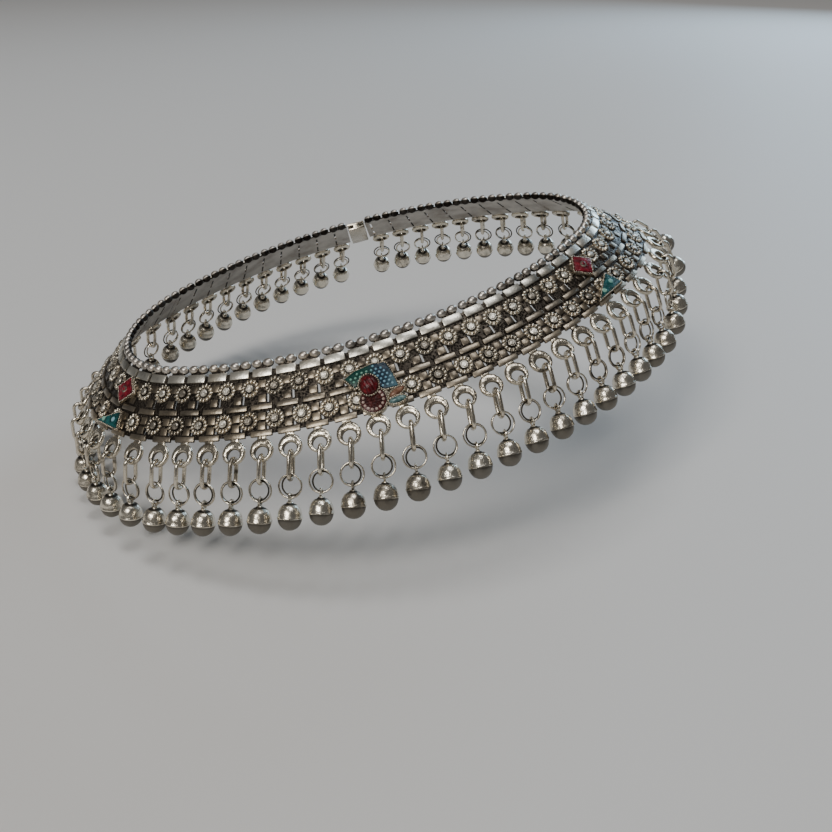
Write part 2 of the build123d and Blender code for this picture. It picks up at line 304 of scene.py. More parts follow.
def engravedSilver():
    # the web: oxidised, with a fine chased grain
    made = Finish("engravedSilver")
    grain = made.cells(0.45)
    lines = made.noise(0.35, 3, 0.7)
    height = made.ease(grain, 0.1, 0.6) * 0.7 + lines * 0.3
    highs = made.ease(height, 0.5, 0.9)
    worn = made.ease(made.noise(5.0, 3), 0.35, 0.7)
    colour = made.blend(highs * (0.05 + worn * 0.2), silverLook["patinaAndShade"], (0.34, 0.29, 0.23, 1))
    return made.settle(colour=colour, metallic=0.9, roughness=0.55 - highs * 0.2, normal=made.bump(height, 0.14))


def innerSilver():
    # the plain back of the web, brushed along the band and a little dull
    made = Finish("innerSilver")
    cloud = made.noise(6.0, 4, 0.6)
    x, y, z = made.parts(made.point)
    stretched = made.node("ShaderNodeCombineXYZ", {}, {"X": x * 0.15, "Y": y * 0.15, "Z": z * 2.5})
    brush = made.noise(0.4, 3, 0.6, stretched)
    colour = made.blend(made.ease(cloud, 0.35, 0.75), (0.46, 0.43, 0.39, 1), (0.24, 0.21, 0.18, 1))
    return made.settle(colour=colour, metallic=1.0, roughness=0.34 + brush * 0.2, normal=made.bump(brush, 0.03))


def fringeSilver(name, smooth, rough, dark, dent, bright):
    # cast and drawn silver of the fringe; each piece has its own tone
    made = Finish(name)
    tone = made.named("tone")
    cloud = made.noise(1.4, 4, 0.6)
    stain = made.ease(cloud + (tone - 0.5) * 0.25, 0.50, 0.80) * dark
    metal = made.blend(tone * 0.35, bright, silverLook["warm"])
    # stain is patina in patches; the shade attribute adds painted shade and a painted dark reflection
    stainAndShade = made.maths("MAXIMUM", stain, made.named("shade") * 0.95)
    colour = made.blend(stainAndShade, metal, silverLook["patinaAndShade"])
    fine = made.noise(0.35, 3, 0.65)
    roughness = smooth + (rough - smooth) * fine + stainAndShade * 0.2
    dents = made.noise(0.8, 2) * 0.75 + fine * 0.25
    return made.settle(colour=colour, metallic=1.0, roughness=roughness, normal=made.bump(dents, dent))


def cutSilver():
    # the bright-cut middle of each rosette, some of them dulled
    made = Finish("cutSilver")
    fine = made.noise(0.3, 2)
    dull = made.ease(made.named("tone"), 0.35, 0.85)
    colour = made.blend(dull * 0.75 + fine * 0.2, (0.97, 0.92, 0.80, 1), (0.26, 0.225, 0.18, 1))
    # painted shade from the shade attribute, where the cut middle meets the groove
    colour = made.blend(made.named("shade"), colour, silverLook["patinaAndShade"])
    return made.settle(colour=colour, metallic=1.0, roughness=0.24 + fine * 0.2, normal=made.bump(fine, 0.08))


def enamel(name, deep, light, grainSize, grainDepth, metallic=0.0, smooth=0.22, ribs=0):
    # fired enamel: pools of deeper colour, tiny pits and a clear top; ribs is the width of one, if it has any
    made = Finish(name)
    pools = made.noise(0.9, 3, 0.6)
    grain = made.cells(grainSize)
    specks = made.ease(made.noise(0.22, 2), 0.62, 0.72)
    colour = made.blend(made.ease(pools, 0.35, 0.7), deep, light)
    colour = made.blend(specks * 0.35, colour, (light[0] * 1.3, light[1] * 1.3, light[2] * 1.3, 1))
    height = made.ease(grain, 0.05, 0.6) * 0.7 + pools * 0.3
    if ribs:
        u, v = made.parts(made.node("ShaderNodeUVMap", {"uv_map": "face"}))[:2]
        wave = made.maths("SINE", (u + v * 0.3 + pools * 0.4) * (2 * math.pi / ribs)) * 0.5 + 0.5
        colour = made.blend((1 - wave) * 0.6, colour, deep)
        height = height * 0.3 + wave * 0.9
    return made.settle(colour=colour, metallic=metallic, roughness=smooth + pools * 0.15,
                       normal=made.bump(height, grainDepth), specular=0.35, coat=0.08, coatRoughness=0.15)


def fanEnamel(name, greens, blues, pale):
    # green on one lobe and blue on the other, paler at its lower tip, over a fine punched ground
    made = Finish(name)
    u, v = made.parts(made.node("ShaderNodeUVMap", {"uv_map": "face"}))[:2]
    pools = made.noise(0.7, 3, 0.6)
    green = made.blend(pools, *greens)
    blue = made.blend(pools, *blues)
    colour = made.blend(made.ease(u + (pools - 0.5) * 1.5, 0.2, 2.2), green, blue)
    colour = made.blend(made.ease(u - v * 0.4 + (pools - 0.5) * 3, 5.6, 7.6) * 0.7, colour, pale)
    height = made.ease(made.cells(0.38), 0.05, 0.55)
    return made.settle(colour=colour, metallic=0.0, roughness=0.25 + pools * 0.2,
                       normal=made.bump(height, 0.05), specular=0.2, coat=0.05, coatRoughness=0.15)


finishes = {
    "bar": bandSilver("barSilver", 0.26, 0.42, 0.30, (0.84, 0.81, 0.72, 1)),
    "lobe": bandSilver("lobeSilver", 0.30, 0.46, 0.30, (0.66, 0.615, 0.56, 1)),
    "strap": bandSilver("strapSilver", 0.28, 0.44, 0.46, (0.30, 0.262, 0.21, 1)),
    "tab": bandSilver("tabSilver", 0.26, 0.42, 0.40, (0.18, 0.153, 0.12, 1)),
    "relief": bandSilver("reliefSilver", 0.20, 0.36, 0.50, (0.60, 0.545, 0.445, 1)),
    "setting": fringeSilver("settingSilver", 0.20, 0.34, 0.9, 0.05, (0.50, 0.45, 0.37, 1)),
    "web": engravedSilver(),
    "inner": innerSilver(),
    "cut": cutSilver(),
    "eyelet": fringeSilver("castSilver", 0.14, 0.30, 0.95, 0.16, (0.74, 0.68, 0.56, 1)),
    "wire": fringeSilver("wireSilver", 0.16, 0.30, 0.85, 0.06, (0.70, 0.645, 0.54, 1)),
    "bell": fringeSilver("bellSilver", 0.18, 0.32, 0.8, 0.14, (0.82, 0.77, 0.66, 1)),
    "fan": fanEnamel("fanEnamel", ((0.001, 0.018, 0.014, 1), (0.004, 0.075, 0.056, 1)),
                     ((0.001, 0.009, 0.020, 1), (0.004, 0.034, 0.066, 1)), (0.10, 0.20, 0.25, 1)),
    "dots": fanEnamel("dotEnamel", ((0.12, 0.36, 0.28, 1), (0.34, 0.60, 0.48, 1)),
                      ((0.10, 0.30, 0.42, 1), (0.34, 0.56, 0.70, 1)), (0.34, 0.50, 0.58, 1)),
    "disc": enamel("redGoldEnamel", (0.028, 0.002, 0.002, 1), (0.095, 0.011, 0.008, 1), 0.3, 0.09, 0.15, 0.3),
    "cabochon": enamel("rubyEnamel", (0.045, 0.001, 0.003, 1), (0.22, 0.008, 0.016, 1), 0.55, 0.12, ribs=0.62),
    "orange": enamel("apricotEnamel", (0.15, 0.065, 0.038, 1), (0.34, 0.20, 0.13, 1), 0.4, 0.04, 0.1),
    "paleTeal": enamel("paleTealEnamel", (0.06, 0.13, 0.135, 1), (0.22, 0.33, 0.325, 1), 0.4, 0.04, 0.1),
    "teal": enamel("tealEnamel", (0.003, 0.035, 0.036, 1), (0.010, 0.11, 0.11, 1), 0.4, 0.05),
    "crimson": enamel("crimsonEnamel", (0.07, 0.001, 0.006, 1), (0.24, 0.008, 0.022, 1), 0.5, 0.05),
    "pearl": enamel("pearlEnamel", (0.46, 0.33, 0.28, 1), (0.74, 0.60, 0.53, 1), 0.6, 0.02),
}
print("finishes ready,", len(finishes))


# mesh helpers: everything is modelled in millimetres and placed by a matrix
plateEdge = 0.08


def paint(verts, slot):
    for face in {face for vert in verts for face in vert.link_faces}:
        face.material_index = slot


def slab(bm, width, height, low, high, middle=(0, 0), edge=0.12, slot=0):
    verts = bmesh.ops.create_cube(bm, size=1)["verts"]
    bmesh.ops.scale(bm, vec=(width, height, high - low), verts=verts)
    bmesh.ops.translate(bm, vec=(middle[0], middle[1], (low + high) / 2), verts=verts)
    paint(verts, slot)
    half = (low + high) / 2
    rims = {e for vert in verts for e in vert.link_edges if max(end.co.z for end in e.verts) > half}
    bmesh.ops.bevel(bm, geom=list(rims), offset=edge, segments=2, profile=0.5, affect="EDGES", material=-1)


def ball(bm, radius, middle, flatten=1.0, across=12, rings=8, slot=0, stretch=(1, 1), turn=0.0):
    verts = bmesh.ops.create_uvsphere(bm, u_segments=across, v_segments=rings, radius=radius)["verts"]
    bmesh.ops.scale(bm, vec=(*stretch, flatten), verts=verts)
    bmesh.ops.rotate(bm, cent=(0, 0, 0), matrix=Matrix.Rotation(turn, 3, "Z"), verts=verts)
    bmesh.ops.translate(bm, vec=middle, verts=verts)
    paint(verts, slot)


def frustum(bm, bottom, top, low, high, segments=24, middle=(0, 0), slot=0):
    verts = bmesh.ops.create_cone(bm, cap_ends=True, segments=segments, radius1=bottom, radius2=top,
                                  depth=high - low)["verts"]
    bmesh.ops.translate(bm, vec=(middle[0], middle[1], (low + high) / 2), verts=verts)
    paint(verts, slot)


def plate(bm, outline, low, high):
    # a flat plate of any outline, its upper edge rounded
    face = bm.faces.new([bm.verts.new((x, y, low)) for x, y in outline])
    raised = bmesh.ops.extrude_face_region(bm, geom=[face])["geom"]
    verts = [item for item in raised if isinstance(item, bmesh.types.BMVert)]
    bmesh.ops.translate(bm, vec=(0, 0, high - low), verts=verts)
    rim = {e for vert in verts for e in vert.link_edges if min(end.co.z for end in e.verts) > (low + high) / 2}
    bmesh.ops.bevel(bm, geom=list(rim), offset=plateEdge, segments=2, profile=0.5, affect="EDGES", material=-1)


def dome(bm, halfWidth, halfHeight, low, rise, middle, turn=0.0):
    # the upper half of an ellipsoid, closed below
    bmesh.ops.create_uvsphere(bm, u_segments=24, v_segments=12, radius=1)
    bmesh.ops.bisect_plane(bm, geom=[*bm.verts, *bm.edges, *bm.faces], plane_co=(0, 0, 0), plane_no=(0, 0, -1),
                           clear_outer=True)
    verts = bm.verts[:]
    bmesh.ops.holes_fill(bm, edges=[edge for edge in bm.edges if edge.is_boundary], sides=0)
    bmesh.ops.scale(bm, vec=(halfWidth, halfHeight, rise), verts=verts)
    bmesh.ops.rotate(bm, cent=(0, 0, 0), matrix=Matrix.Rotation(math.radians(turn), 3, "Z"), verts=verts)
    bmesh.ops.translate(bm, vec=(middle[0], middle[1], low), verts=verts)


def asTemplate(bm, name, merge=0.0005, shade=None):
    # shade gives a vertex its share of painted shade from its place
    bmesh.ops.remove_doubles(bm, verts=bm.verts, dist=merge)
    bmesh.ops.recalc_face_normals(bm, faces=bm.faces)
    bm.verts.layers.float.new("tone")
    dark = bm.verts.layers.float.new("shade")
    for vert in bm.verts:
        vert[dark] = shade(vert.co) if shade else 0.0
    face = bm.loops.layers.uv.new("face")
    for item in bm.faces:
        for corner in item.loops:
            corner[face].uv = corner.vert.co.xy
    mesh = bpy.data.meshes.new(name)
    bm.to_mesh(mesh)
    bm.free()
    return mesh


def addCopy(bm, template, place, tone=0.5):
    first = len(bm.verts)
    bm.from_mesh(template)
    bm.verts.ensure_lookup_table()
    fresh = bm.verts[first:]
    bmesh.ops.transform(bm, matrix=place, verts=fresh)
    layer = bm.verts.layers.float["tone"]
    for vert in fresh:
        vert[layer] = tone


def finished(name, bm, looks, replaced, sharp=38):
    mesh = bpy.data.meshes.new(name)
    bm.to_mesh(mesh)
    bm.free()
    mesh.shade_smooth()
    mesh.set_sharp_from_angle(angle=math.radians(sharp))
    for look in looks:
        mesh.materials.append(finishes[look])
    piece = bpy.data.objects.new(name, mesh)
    bpy.context.scene.collection.objects.link(piece)
    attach(piece, "root")
    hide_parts(*replaced)


def repeated(name, template, places, looks, replaced, sharp=38):
    bm = bmesh.new()
    for place in places:
        addCopy(bm, template, place, dice.random())
    bpy.data.meshes.remove(template)
    finished(name, bm, looks, replaced, sharp)


# the web: a panel to each column, pierced by two slits
web = {"half": 0.15, "top": 0.5, "bottom": 11.4, "slitLeft": 0.85, "slitRight": 1.25,
       "upperSlit": (1.45, 5.65), "lowerSlit": (7.25, 10.65)}


def webPanel(column):
    # mitred to its neighbours: its width follows the fan of the band
    place = onBand(column)
    back = place.inverted()
    rows = [-web["top"], *web["upperSlit"], *web["lowerSlit"], web["bottom"]]
    edges = [[back @ onBand(column + side, row).translation for row in rows] for side in (-0.5, 0.5)]
    bm = bmesh.new()
    verts = bmesh.ops.create_grid(bm, x_segments=3, y_segments=len(rows) - 1, size=1)["verts"]
    across = sorted({round(vert.co.x, 4) for vert in verts})
    down = sorted({round(vert.co.y, 4) for vert in verts}, reverse=True)
    for vert in verts:
        stripe = across.index(round(vert.co.x, 4))
        row = down.index(round(vert.co.y, 4))
        x = [edges[0][row].x, web["slitLeft"], web["slitRight"], edges[1][row].x][stripe]
        vert.co = (x, -rows[row], 0)
    slits = [face for face in bm.faces
             if web["slitLeft"] < face.calc_center_median().x < web["slitRight"]
             and any(low < -face.calc_center_median().y < high
                     for low, high in (web["upperSlit"], web["lowerSlit"]))]
    bmesh.ops.delete(bm, geom=slits, context="FACES")
    bmesh.ops.recalc_face_normals(bm, faces=bm.faces)
    if next(iter(bm.faces)).normal.z < 0:
        bmesh.ops.reverse_faces(bm, faces=bm.faces)
    bmesh.ops.solidify(bm, geom=bm.faces[:], thickness=2 * web["half"])
    height = max(vert.co.z for vert in bm.verts)
    bmesh.ops.translate(bm, vec=(0, 0, web["half"] - height), verts=bm.verts)
    for face in bm.faces:
        face.material_index = 1 if face.normal.z < -0.5 else 0
    return asTemplate(bm, "panel"), place


def makeWeb():
    bm = bmesh.new()
    for column in columns:
        template, place = webPanel(column)
        addCopy(bm, template, place)
        bpy.data.meshes.remove(template)
    finished("web", bm, ["web", "inner"], ["band"])


makeWeb()
print("web made")

# upper bars with their two ball heads, and the two thin rails
bars = {
    "width": 3.7, "height": 1.6, "base": -0.05, "rise": 0.5, "edge": 0.16,
    "ballRadius": 0.95, "ballSpacing": 2.05, "ballMiddle": (1.9, 0.03),
    "ballStretch": (1.06, 0.86), "ballFlatten": 0.86,
    "neck": (2.75, 1.5), "neckSpan": (-0.1, 0.3), "neckMiddle": 1.3, "neckEdge": 0.1,
}
rails = {"length": 3.95, "height": 1.0, "rise": 0.5, "edge": 0.14, "slopes": (6.5, 11.4)}


def barTemplate():
    bm = bmesh.new()
    slab(bm, bars["width"], bars["height"], bars["base"], bars["rise"], edge=bars["edge"])
    # the neck takes slot 1, the dark web finish, as painted shade between the ball heads and the bar
    slab(bm, *bars["neck"], *bars["neckSpan"], (0, bars["neckMiddle"]), bars["neckEdge"], 1)
    for side in (-0.5, 0.5):
        middle = (side * bars["ballSpacing"], *bars["ballMiddle"])
        ball(bm, bars["ballRadius"], middle, bars["ballFlatten"], 16, 10, 2, bars["ballStretch"])
    return asTemplate(bm, "bar")


def railTemplate():
    bm = bmesh.new()
    for slope in rails["slopes"]:
        slab(bm, rails["length"], rails["height"], 0, rails["rise"], (0, -slope), rails["edge"])
    return asTemplate(bm, "rail")


repeated("upperBars", barTemplate(), [onBand(n) for n in columns], ["bar", "web", "lobe"], ["band"])
repeated("rails", railTemplate(), [onBand(n) for n in columns], ["strap"], ["band"])
print("bars and rails made")

# small square tabs between the rosettes
tabs = {"width": 1.4, "base": 0.05, "rise": 0.35, "edge": 0.1, "slopes": (2.1, 4.9, 8.2, 10.0)}


def tabTemplate():
    bm = bmesh.new()
    for slope in tabs["slopes"]:
        slab(bm, tabs["width"], tabs["width"], tabs["base"], tabs["rise"], (0, -slope), tabs["edge"])
    return asTemplate(bm, "tab")


repeated("tabs", tabTemplate(), [onBand(n) for n in columns], ["tab"], ["band"])

# rosettes: a ring of petals round a mirror-cut table
rosettes = {
    "slopes": (2.85, 8.95),
    "petals": 13, "petalHalf": (0.5, 0.33), "petalRise": 0.32, "petalMiddle": (1.36, 0.3),
    # groove and grooveTop: where painted shade lies round the table
    "groove": (0.7, 0.93), "grooveTop": 0.5,
    # lower radius, upper radius, underside and top of each layer
    "base": (1.76, 1.62, 0.0, 0.3), "collar": (0.92, 0.88, 0.25, 0.42),
    "step": (0.76, 0.7, 0.4, 0.62), "table": (0.67, 0.44, 0.6, 0.8),
}


# painted shade in the groove between the petals and the table
def rosetteShade(place):
    low, high = rosettes["groove"]
    return 1.0 if low < place.xy.length < high and place.z < rosettes["grooveTop"] else 0.0


def rosetteTemplate():
    bm = bmesh.new()
    frustum(bm, *rosettes["base"], 24)
    reach, height = rosettes["petalMiddle"]
    for number in range(rosettes["petals"]):
        angle = 2 * math.pi * number / rosettes["petals"]
        middle = (reach * math.cos(angle), reach * math.sin(angle), height)
        ball(bm, 1, middle, rosettes["petalRise"], 8, 6, 0, rosettes["petalHalf"], angle)
    frustum(bm, *rosettes["collar"], 20)
    frustum(bm, *rosettes["step"], 10, slot=1)
    frustum(bm, *rosettes["table"], 10, slot=1)
    return asTemplate(bm, "rosette", shade=rosetteShade)


repeated("rosettes", rosetteTemplate(), [onBand(n, slope) for n in joints for slope in rosettes["slopes"]],
         ["relief", "cut"], ["band"], 30)
print("rosettes made")

# heavy domed eyelets, whose hole lies low
eyelets = {
    "slope": 14.3, "radius": 2.15, "holeRadius": 1.15, "holeDrop": 0.55, "halfThickness": 0.46,
    "fullness": 0.6,                    # below 1 the section is squarer than an ellipse
    "shadedWall": (0.02, 0.12),           # where the painted shade and painted dark reflection on the hole's wall begin to fade, and over what width
    "neck": (1.6, 1.5), "neckSpan": (-0.1, 0.3), "neckMiddle": 2.3, "neckEdge": 0.12,
}


def eyeletShade(place):
    # painted shade and a painted dark reflection on the hole's wall
    start, width = eyelets["shadedWall"]
    across = math.hypot(place.x, place.y + eyelets["holeDrop"])
    return 1.0 - min(1.0, max(0.0, (across - eyelets["holeRadius"] - start) / width))


def eyeletTemplate():
    bm = bmesh.new()
    wall = (eyelets["radius"] - eyelets["holeRadius"]) / 2
    made = bmesh.ops.create_circle(bm, cap_ends=False, radius=wall, segments=12,
                                   matrix=Matrix.Translation((eyelets["holeRadius"] + wall, 0, 0))
                                   @ Matrix.Rotation(math.pi / 2, 4, "X"))["verts"]
    edges = list({e for vert in made for e in vert.link_edges})
    bmesh.ops.spin(bm, geom=made + edges, cent=(0, 0, 0), axis=(0, 0, 1), dvec=(0, 0, 0), angle=2 * math.pi,
                   steps=28, use_merge=True, use_duplicate=False)
    for vert in bm.verts:
        share = (eyelets["radius"] - vert.co.xy.length) / (2 * wall)
        vert.co.y -= eyelets["holeDrop"] * share
        rise = abs(vert.co.z) / wall
        vert.co.z = math.copysign(eyelets["halfThickness"] * rise**eyelets["fullness"], vert.co.z)
    slab(bm, *eyelets["neck"], *eyelets["neckSpan"], (0, eyelets["neckMiddle"]), eyelets["neckEdge"])
    return asTemplate(bm, "eyelet", shade=eyeletShade)


repeated("eyelets", eyeletTemplate(), [onBand(n, eyelets["slope"]) for n in columns], ["eyelet"], ["band"], 60)
print("eyelets made")

# the fringe: an oval link, a ring of two turns and a bell on each eyelet
fringe = {
    "play": 0.1,                        # the gap wherever two pieces hang in each other
    "linkWire": 0.34, "linkEnd": 1.2, "linkLength": 4.85, "linkTop": 0.98, "linkFlat": 1.15,
    "ringWire": 0.165, "ringRadius": 1.98, "innerTurn": 1.7, "turnShift": 0.97, "shadeBetween": 0.09,
    "solidRingWire": 0.3, "solidRingRadius": 1.85, "ringSwing": 0.6,
    "loopWire": 0.22, "loopRadius": 0.68, "bellNeck": 2.7,
}
linkBottom = fringe["linkTop"] - fringe["linkLength"]
ringTop = linkBottom + fringe["linkWire"] + fringe["play"] + fringe["solidRingWire"]
ringCentre = ringTop - fringe["solidRingRadius"]
ringBottom = ringCentre - fringe["solidRingRadius"]
loopCentre = ringBottom + fringe["solidRingWire"] + fringe["play"] + fringe["loopWire"] - fringe["loopRadius"]
bellCentre = loopCentre - fringe["loopRadius"] - fringe["bellNeck"]


def linkTemplate():
    # a round ring in the YZ plane, pulled long between its two bends
    bm = bmesh.new()
    steps = 20
    made = bmesh.ops.create_circle(bm, cap_ends=False, radius=fringe["linkWire"], segments=8,
                                   matrix=Matrix.Translation((0, fringe["linkEnd"], 0)))["verts"]
    bmesh.ops.rotate(bm, cent=(0, 0, 0), matrix=Matrix.Rotation(math.pi / steps, 3, "X"), verts=made)
    edges = list({e for vert in made for e in vert.link_edges})
    bmesh.ops.spin(bm, geom=made + edges, cent=(0, 0, 0), axis=(1, 0, 0), dvec=(0, 0, 0), angle=2 * math.pi,
                   steps=steps, use_merge=True, use_duplicate=False)
    straight = fringe["linkLength"] - 2 * fringe["linkEnd"]
    lower = [vert for vert in bm.verts if vert.co.z < 0]
    bmesh.ops.translate(bm, vec=(0, 0, -straight), verts=lower)
    bmesh.ops.translate(bm, vec=(0, 0, fringe["linkTop"] - fringe["linkEnd"]), verts=bm.verts)
    bmesh.ops.scale(bm, vec=(fringe["linkFlat"], 1, 1), verts=bm.verts)
    return asTemplate(bm, "link")


def ringTemplate():
    # two turns of wire, one lying a little inside the other, with painted shade between them
    bm = bmesh.new()
    for side, radius in ((-1, fringe["ringRadius"]), (1, fringe["innerTurn"])):
        before = set(bm.verts)
        made = bmesh.ops.create_circle(bm, cap_ends=False, radius=fringe["ringWire"], segments=8,
                                       matrix=Matrix.Translation((radius, 0, 0)))["verts"]
        edges = list({e for vert in made for e in vert.link_edges})
        bmesh.ops.spin(bm, geom=made + edges, cent=(0, 0, 0), axis=(0, 1, 0), dvec=(0, 0, 0),
                       angle=2 * math.pi, steps=28, use_merge=True, use_duplicate=False)
        turn = [vert for vert in bm.verts if vert not in before]
        shift = ((fringe["ringRadius"] - radius) * side, side * fringe["turnShift"] * fringe["ringWire"], 0)
        bmesh.ops.translate(bm, vec=shift, verts=turn)
    # painted shade where the two turns meet
    return asTemplate(bm, "ring", 0.00005, lambda place: 1.0 if abs(place.y) < fringe["shadeBetween"] else 0.0)


bellProfile = {
    # radius and height over the bell's middle: cap, shoulder, seam, then the round bowl
    "cap": [(0.0, 2.7), (0.45, 2.7), (0.56, 2.62), (0.62, 2.46), (0.70, 2.36)],
    "shoulder": [(1.02, 2.27), (1.4, 2.03), (1.7, 1.66), (1.92, 1.2), (2.05, 0.65), (2.1, 0.2)],
    "seam": [(2.16, 0.13), (2.18, 0.0), (2.16, -0.13), (2.08, -0.18)],
    "bowl": 2.05, "bowlTop": -0.15,
    # lower and upper height of a line of painted shade, and its share of it; below the seam, the share of a painted
    # dark reflection over the bowl
    "capLine": (2.2, 2.5, 1.0), "capLineInside": 0.55,
    "seamLine": (-0.3, -0.15, 0.95), "bowlDarkReflection": 0.84,
}


def bellShade(place):
    # painted shade round the foot of the cap and under the seam, and below it a painted dark reflection, duller too
    height = place.z - bellCentre
    low, high, share = bellProfile["capLine"]
    if low < height < high and place.xy.length > bellProfile["capLineInside"]:
        return share
    low, high, share = bellProfile["seamLine"]
    if low < height < high:
        return share
    return bellProfile["bowlDarkReflection"] if height < low else 0.0


def bellTemplate():
    bm = bmesh.new()
    radius, top = bellProfile["bowl"], bellProfile["bowlTop"]
    bowl = [(radius * math.cos(math.radians(angle)), top - radius * math.sin(math.radians(angle)))
            for angle in range(12, 84, 12)]
    profile = [*bellProfile["cap"], *bellProfile["shoulder"], *bellProfile["seam"], *bowl, (0, top - radius)]
    verts = [bm.verts.new((radius, 0, height)) for radius, height in profile]
    edges = [bm.edges.new(pair) for pair in zip(verts, verts[1:])]
    bmesh.ops.spin(bm, geom=verts + edges, cent=(0, 0, 0), axis=(0, 0, 1), dvec=(0, 0, 0), angle=2 * math.pi,
                   steps=24, use_merge=True, use_duplicate=False)
    bmesh.ops.translate(bm, vec=(0, 0, bellCentre), verts=bm.verts)
    whole = set(bm.verts)
    made = bmesh.ops.create_circle(bm, cap_ends=False, radius=fringe["loopWire"], segments=8,
                                   matrix=Matrix.Translation((0, fringe["loopRadius"], 0)))["verts"]
    loopEdges = list({e for vert in made for e in vert.link_edges})
    bmesh.ops.spin(bm, geom=made + loopEdges, cent=(0, 0, 0), axis=(1, 0, 0), dvec=(0, 0, 0),
                   angle=2 * math.pi, steps=16, use_merge=True, use_duplicate=False)
    wire = [vert for vert in bm.verts if vert not in whole]
    bmesh.ops.translate(bm, vec=(0, 0, loopCentre), verts=wire)
    return asTemplate(bm, "bell", shade=bellShade)


repeated("ovalLinks", linkTemplate(), [onDrop(n) for n in columns], ["wire"], ["links"], 60)
ringTurns = [dice.uniform(-fringe["ringSwing"], fringe["ringSwing"]) + dice.choice((0, math.pi)) for n in columns]
ringPlaces = [onDrop(n) @ Matrix.Translation((0, 0, ringCentre)) @ Matrix.Rotation(turn, 4, "Y")
              for n, turn in zip(columns, ringTurns)]
repeated("doubleRings", ringTemplate(), ringPlaces, ["wire"], ["jump_rings"], 60)
repeated("roundBells", bellTemplate(), [onDrop(n) for n in columns], ["bell"], ["bells"], 40)
print("fringe made")

# the stations, drawn on their column's plane: X along the rail, Y up the slope
station = {
    "fan": [(-3.5, -4.9), (-1.6, -4.0), (1.6, -3.5), (3.9, -3.8), (4.6, -6.2),
            (5.0, -8.6), (2.6, -8.5), (0.0, -6.2), (-2.2, -6.9)],
    "fanDot": 0.22, "fanDotSpacing": (0.84, 0.66), "fanDotInset": 0.35,
    "cabochon": (0.25, -7.2), "cabochonSize": (1.6, 1.85), "cabochonRise": 1.0, "clearing": 0.25,
    "disc": (0.3, -10.0), "discRadius": 2.2,
    "pearls": 15, "pearl": 0.26, "pearlRing": 1.74,
    "grain": 0.19, "grainRings": ((0.0, 1), (0.5, 6), (1.0, 12), (1.35, 18)),
    "orangeLeaf": (4.5, -9.6), "orangeTurn": 22,
    "tealLeaf": (4.3, -11.0), "tealTurn": 4,
    "leafSize": (1.5, 0.55), "leafRise": 0.42,
    "rhombus": [(-2.6, -3.6), (0, -1.2), (2.6, -3.6), (0, -6.0)],
    "boss": (0.7, 0.6), "bossMiddle": (0, -3.6), "bossBall": 0.42,
    "petal": [(-4.1, -10.9), (2.0, -7.8), (3.1, -10.8)],
    "petalSpot": 0.5, "petalSpots": ((1.2, -9.5), (-1.9, -10.15)),
    "plateBase": -0.1, "plateTop": 0.9, "margin": 0.3, "enamelBase": 1.0, "enamelTop": 1.3,
    "bead": 0.19, "beadSpacing": 0.4, "beadMargin": 0.17, "beadHeight": 1.05,
    "seatTop": 1.3, "seatMargin": 0.12, "seatBead": 0.2, "seatBeadSpacing": 0.42, "seatBeadMargin": 0.16,
    "seatBeadHeight": 1.5,
}
mainStations = {"front": 0, "toe_back": 20, "heel_back": -20}
sideStations = {"toe": 10.5, "heel": -10.5}


def ellipse(middle, size, turn=0.0, count=32):
    c, s = math.cos(math.radians(turn)), math.sin(math.radians(turn))
    points = [(size[0] * math.cos(2 * math.pi * n / count), size[1] * math.sin(2 * math.pi * n / count))
              for n in range(count)]
    return [(middle[0] + x * c - y * s, middle[1] + x * s + y * c) for x, y in points]


def grown(outline, margin):
    # each corner moved out along its bisector
    area = sum(a[0] * b[1] - b[0] * a[1] for a, b in zip(outline, outline[1:] + outline[:1]))
    side = 1 if area > 0 else -1
    moved = []
    for before, here, after in zip(outline[-1:] + outline[:-1], outline, outline[1:] + outline[:1]):
        first = (Vector(here) - Vector(before)).normalized()
        second = (Vector(after) - Vector(here)).normalized()
        normal = Vector((first.y + second.y, -first.x - second.x)).normalized() * side
        reach = margin / max(0.5, normal.dot(Vector((first.y, -first.x)) * side))
        moved.append(tuple(Vector(here) + normal * reach))
    return moved


def spaced(outline, spacing):
    # points at an even spacing round a closed outline
    runs = [(Vector(a), Vector(b)) for a, b in zip(outline, outline[1:] + outline[:1])]
    total = sum((b - a).length for a, b in runs)
    count = max(3, round(total / spacing))
    points = []
    for number in range(count):
        left = total * number / count
        for a, b in runs:
            length = (b - a).length
            if left <= length:
                points.append(tuple(a.lerp(b, left / length)))
                break
            left -= length
    return points


def inside(point, outline):
    crossings = 0
    for a, b in zip(outline, outline[1:] + outline[:1]):
        if (a[1] > point[1]) != (b[1] > point[1]):
            crossings += point[0] < a[0] + (b[0] - a[0]) * (point[1] - a[1]) / (b[1] - a[1])
    return crossings % 2 == 1


def beads(bm, outline, height, radius, spacing):
    for x, y in spaced(outline, spacing):
        ball(bm, radius, (x, y, height), 0.9, 8, 5)


def rimmedPlate(bm, outline):
    plate(bm, grown(outline, station["margin"]), station["plateBase"], station["plateTop"])
    beads(bm, grown(outline, station["beadMargin"]), station["beadHeight"], station["bead"], station["beadSpacing"])


cabochonOutline = ellipse(station["cabochon"], station["cabochonSize"])
discOutline = ellipse(station["disc"], (station["discRadius"], station["discRadius"]))
orangeOutline = ellipse(station["orangeLeaf"], station["leafSize"], station["orangeTurn"])
tealOutline = ellipse(station["tealLeaf"], station["leafSize"], station["tealTurn"])


def placed(name, bm, column, looks, node, sharp=45):
    template = asTemplate(bm, name)
    whole = bmesh.new()
    addCopy(whole, template, onBand(column))
    bpy.data.meshes.remove(template)
    finished(name, whole, looks, [node], sharp)


